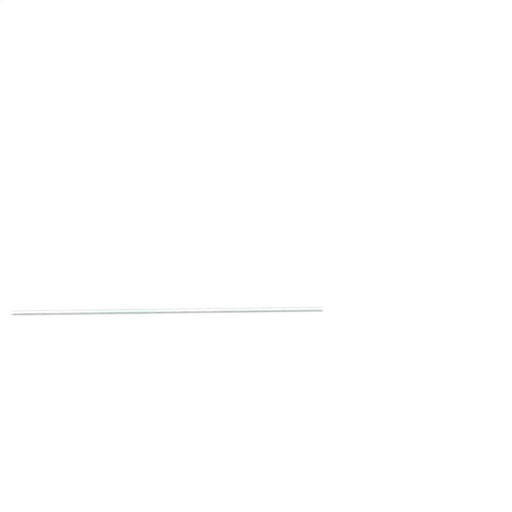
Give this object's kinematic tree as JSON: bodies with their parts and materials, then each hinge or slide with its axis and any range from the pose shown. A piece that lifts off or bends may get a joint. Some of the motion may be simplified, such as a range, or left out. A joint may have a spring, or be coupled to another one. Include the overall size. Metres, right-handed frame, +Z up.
{
  "type": "glass capillary tube",
  "caption": "Thin straight tube of drawn glass with a fine bore right through it, open at both ends, for holding a small sample of powder or liquid.",
  "frame": {"origin": "under the tube's middle, on the surface that it lies on", "axes": "+X along the tube's axis, +Y across it, +Z up"},
  "size_m": [0.075, 0.001, 0.0011],
  "materials": {
    "clear_glass": "clear drawn borosilicate glass with a fire-smooth surface and a very faint green tint"
  },
  "bodies": {
    "root": {"capillary_tube": "clear_glass"}
  },
  "joints": []
}
